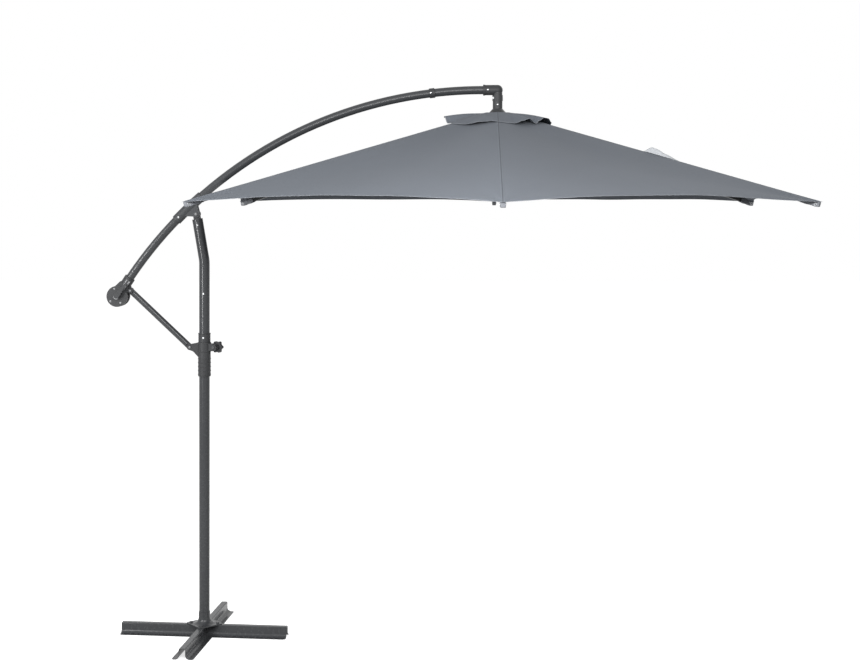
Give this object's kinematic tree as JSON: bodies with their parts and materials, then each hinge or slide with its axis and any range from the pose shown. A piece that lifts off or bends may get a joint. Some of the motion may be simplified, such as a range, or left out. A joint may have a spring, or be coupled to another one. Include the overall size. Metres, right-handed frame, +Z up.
{
  "type": "cantilever parasol",
  "caption": "Free-arm garden parasol: cross base, bent mast, arched boom on a sliding brace, winch, and a folding hexagonal canopy under a vented cap.",
  "frame": {"origin": "where the mast's axis meets the floor, at the centre of the cross base", "axes": "+X from the mast towards the canopy, in the boom's plane; the crank is on the -Y side; +Z up"},
  "size_m": [3.0872, 3, 2.5168],
  "materials": {
    "frame_paint": "satin",
    "rib_paint": "satin",
    "cast_alloy": "satin",
    "moulded_plastic": "matte",
    "fixings": "satin",
    "canopy_cloth": "matte",
    "cord": "matte"
  },
  "bodies": {
    "stand": {"base_bar_lower": "frame_paint", "base_bar_upper": "frame_paint", "mast_foot": "frame_paint", "foot_bolts": "fixings", "foot_nuts": "fixings", "mast_screws": "fixings", "mast_lower": "frame_paint", "mast_upper": "frame_paint", "mast_spigot": "frame_paint", "stop_collar": "moulded_plastic", "mast_top_plug": "moulded_plastic"},
    "boom": {"boom_screws": "fixings", "boom_lower": "frame_paint", "boom_upper": "frame_paint", "boom_ferrule": "moulded_plastic", "boom_bracket": "cast_alloy", "pivot_bolt": "fixings", "pivot_nut": "fixings", "winch_front_shell": "moulded_plastic", "winch_back_shell": "moulded_plastic", "winch_screws": "fixings", "ratchet_pawl": "fixings", "brace_top_pin": "fixings", "elbow": "moulded_plastic", "crown": "moulded_plastic", "crown_pins": "fixings", "neck_bolt": "fixings", "pulley_pin": "fixings", "lift_cord": "cord", "lift_cord_drop": "cord"},
    "crank": {"winch_shaft": "fixings", "winch_drum": "moulded_plastic", "ratchet_wheel": "fixings", "crank_arm": "frame_paint"},
    "crank_grip": {"crank_grip": "moulded_plastic"},
    "brace": {"brace": "frame_paint"},
    "slider": {"slider": "moulded_plastic", "slider_pin": "fixings", "clamp_bolt": "fixings"},
    "star_knob": {"star_knob": "moulded_plastic"},
    "lift_pulley": {"lift_pulley": "moulded_plastic"},
    "rib_1": {"rib_1": "rib_paint", "canopy_1": "canopy_cloth"},
    "strut_1": {"strut_1": "rib_paint"},
    "rib_2": {"rib_2": "rib_paint", "canopy_2": "canopy_cloth"},
    "strut_2": {"strut_2": "rib_paint"},
    "rib_3": {"rib_3": "rib_paint", "canopy_3": "canopy_cloth"},
    "strut_3": {"strut_3": "rib_paint"},
    "rib_4": {"rib_4": "rib_paint", "canopy_4": "canopy_cloth"},
    "strut_4": {"strut_4": "rib_paint"},
    "rib_5": {"rib_5": "rib_paint", "canopy_5": "canopy_cloth"},
    "strut_5": {"strut_5": "rib_paint"},
    "rib_6": {"rib_6": "rib_paint", "canopy_6": "canopy_cloth"},
    "strut_6": {"strut_6": "rib_paint"},
    "runner": {"runner": "moulded_plastic"}
  },
  "joints": [
    {"name": "boom_raise", "type": "hinge", "parent": "stand", "child": "boom", "pos_m": [-0.03636, 0, 1.92695], "axis": [0, -1, 0], "range_deg": [0, 28]},
    {"name": "brace_swing", "type": "hinge", "parent": "boom", "child": "brace", "pos_m": [-0.34119, 0, 1.57611], "axis": [0, -1, 0], "range_deg": [-63.6, 0]},
    {"name": "slider_travel", "type": "hinge", "parent": "brace", "child": "slider", "pos_m": [-0.066, 0, 1.317], "axis": [0, -1, 0], "range_deg": [0, 35.6]},
    {"name": "knob_turn", "type": "hinge", "parent": "slider", "child": "star_knob", "pos_m": [0.05123, -0.02499, 1.318], "axis": [0.4384, 0.8988, 0], "range_deg": [0, 540]},
    {"name": "canopy_fold", "type": "hinge", "parent": "boom", "child": "rib_1", "pos_m": [1.38197, 0.0225, 2.366], "axis": [-0.5, 0.866, 0], "range_deg": [0, 71], "deforming": ["canopy_1", "canopy_2", "canopy_3", "canopy_4", "canopy_5", "canopy_6", "lift_cord_drop"]},
    {"name": "strut_fold_1", "type": "hinge", "parent": "rib_1", "child": "strut_1", "pos_m": [1.83729, 0.28538, 2.20351], "axis": [-0.5, 0.866, 0], "range_deg": [-142, 0]},
    {"name": "rib_fold_2", "type": "hinge", "parent": "boom", "child": "rib_2", "pos_m": [1.343, 0.045, 2.366], "axis": [-1, 0, 0], "range_deg": [0, 71]},
    {"name": "strut_fold_2", "type": "hinge", "parent": "rib_2", "child": "strut_2", "pos_m": [1.343, 0.57076, 2.20351], "axis": [-1, 0, 0], "range_deg": [-142, 0]},
    {"name": "rib_fold_3", "type": "hinge", "parent": "boom", "child": "rib_3", "pos_m": [1.30403, 0.0225, 2.366], "axis": [-0.5, -0.866, 0], "range_deg": [0, 71]},
    {"name": "strut_fold_3", "type": "hinge", "parent": "rib_3", "child": "strut_3", "pos_m": [0.84871, 0.28538, 2.20351], "axis": [-0.5, -0.866, 0], "range_deg": [-142, 0]},
    {"name": "rib_fold_4", "type": "hinge", "parent": "boom", "child": "rib_4", "pos_m": [1.30403, -0.0225, 2.366], "axis": [0.5, -0.866, 0], "range_deg": [0, 71]},
    {"name": "strut_fold_4", "type": "hinge", "parent": "rib_4", "child": "strut_4", "pos_m": [0.84871, -0.28538, 2.20351], "axis": [0.5, -0.866, 0], "range_deg": [-142, 0]},
    {"name": "rib_fold_5", "type": "hinge", "parent": "boom", "child": "rib_5", "pos_m": [1.343, -0.045, 2.366], "axis": [1, 0, 0], "range_deg": [0, 71]},
    {"name": "strut_fold_5", "type": "hinge", "parent": "rib_5", "child": "strut_5", "pos_m": [1.343, -0.57076, 2.20351], "axis": [1, 0, 0], "range_deg": [-142, 0]},
    {"name": "rib_fold_6", "type": "hinge", "parent": "boom", "child": "rib_6", "pos_m": [1.38197, -0.0225, 2.366], "axis": [0.5, 0.866, 0], "range_deg": [0, 71]},
    {"name": "strut_fold_6", "type": "hinge", "parent": "rib_6", "child": "strut_6", "pos_m": [1.83729, -0.28538, 2.20351], "axis": [0.5, 0.866, 0], "range_deg": [-142, 0]},
    {"name": "runner_lift", "type": "hinge", "parent": "strut_1", "child": "runner", "pos_m": [1.38197, 0.0225, 2.04102], "axis": [-0.5, 0.866, 0], "range_deg": [0, 71]},
    {"name": "crank_turn", "type": "hinge", "parent": "boom", "child": "crank", "pos_m": [-0.39719, 0, 1.55011], "axis": [0, 1, 0], "range_deg": [0, 2790]},
    {"name": "pulley_turn", "type": "hinge", "parent": "boom", "child": "lift_pulley", "pos_m": [1.334, 0, 2.483], "axis": [0, 1, 0], "range_deg": [0, 4970]},
    {"name": "grip_fold", "type": "hinge", "parent": "crank", "child": "crank_grip", "pos_m": [-0.34241, -0.052, 1.61898], "axis": [-0.7826, 0, 0.6225], "range_deg": [0, 90]}
  ],
  "couplings": [
    {"joint": "brace_swing", "follows": "boom_raise", "ratio": -2.271},
    {"joint": "slider_travel", "follows": "boom_raise", "ratio": 1.271},
    {"joint": "strut_fold_1", "follows": "canopy_fold", "ratio": -2},
    {"joint": "rib_fold_2", "follows": "canopy_fold", "ratio": 1},
    {"joint": "strut_fold_2", "follows": "canopy_fold", "ratio": -2},
    {"joint": "rib_fold_3", "follows": "canopy_fold", "ratio": 1},
    {"joint": "strut_fold_3", "follows": "canopy_fold", "ratio": -2},
    {"joint": "rib_fold_4", "follows": "canopy_fold", "ratio": 1},
    {"joint": "strut_fold_4", "follows": "canopy_fold", "ratio": -2},
    {"joint": "rib_fold_5", "follows": "canopy_fold", "ratio": 1},
    {"joint": "strut_fold_5", "follows": "canopy_fold", "ratio": -2},
    {"joint": "rib_fold_6", "follows": "canopy_fold", "ratio": 1},
    {"joint": "strut_fold_6", "follows": "canopy_fold", "ratio": -2},
    {"joint": "runner_lift", "follows": "canopy_fold", "ratio": 1},
    {"joint": "crank_turn", "follows": "canopy_fold", "ratio": 39.296},
    {"joint": "pulley_turn", "follows": "canopy_fold", "ratio": 69.972}
  ]
}
